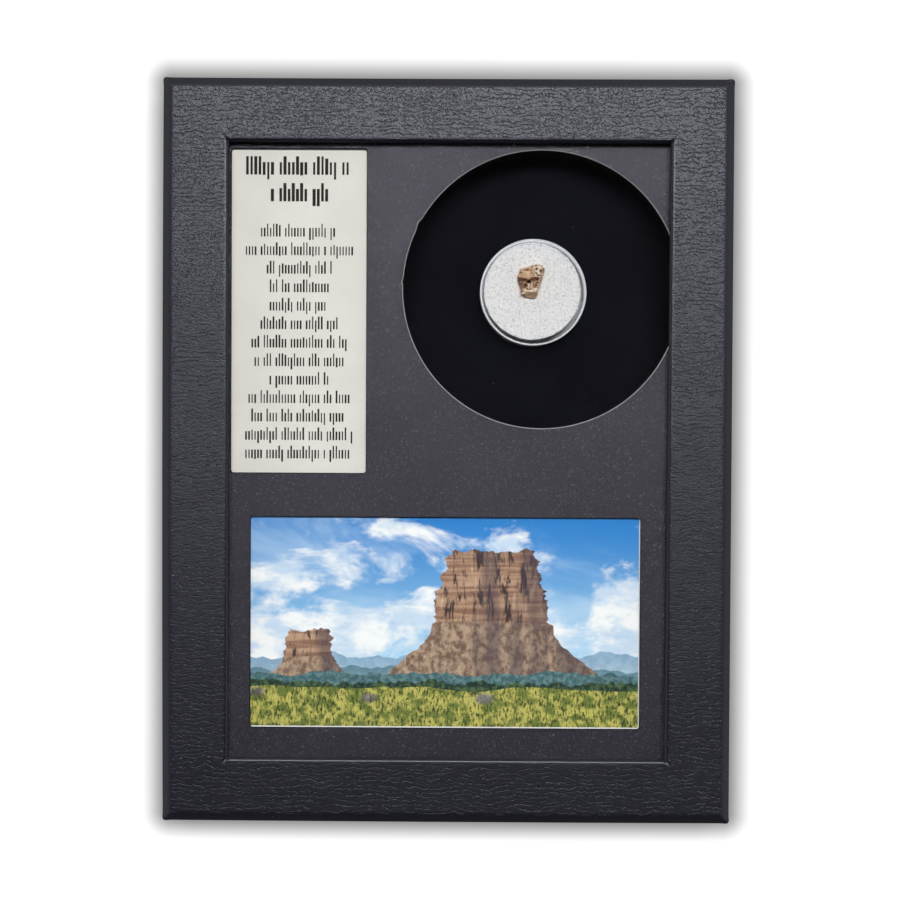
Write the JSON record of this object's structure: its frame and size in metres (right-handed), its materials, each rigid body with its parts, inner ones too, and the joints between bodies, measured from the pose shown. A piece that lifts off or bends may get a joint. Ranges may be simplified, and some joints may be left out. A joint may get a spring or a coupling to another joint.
{
  "type": "fossil tooth in a glass-fronted display case",
  "caption": "Small worn fossil dinosaur tooth on white foam in a clear round jar, fixed in a flat black glass-fronted display case with a label card and a landscape card.",
  "frame": {"origin": "middle of the case's flat back, on the surface that it lies on", "axes": "+Z out through the glass, +Y towards the top of the case as it is read, +X to the right"},
  "size_m": [0.1572, 0.2056, 0.022],
  "materials": {
    "wrapped_paper": "black leather-grain paper, satin",
    "window_glass": "clear, polished",
    "dark_board": "dark grey, fine speckle, matt",
    "label_paper": "off-white, matt",
    "printed_card": "printed, semi-gloss",
    "black_foam": "black, matt",
    "black_velvet": "black flock, very matt",
    "tray_paper": "black paper, matt",
    "clear_plastic": "clear, polished",
    "white_foam": "white, fine-pored, matt",
    "fossil": "worn tan, cream and grey enamel with brown pits"
  },
  "bodies": {
    "root": {"case_lid": "wrapped_paper", "glass_pane": "window_glass", "insert_board": "dark_board", "label_card": "label_paper", "picture_card": "printed_card", "foam_bed": "black_foam", "velvet_floor": "black_velvet", "case_tray": "tray_paper", "jar_base": "clear_plastic", "jar_lid": "clear_plastic", "foam_disc": "white_foam", "fossil_tooth": "fossil"}
  },
  "joints": []
}
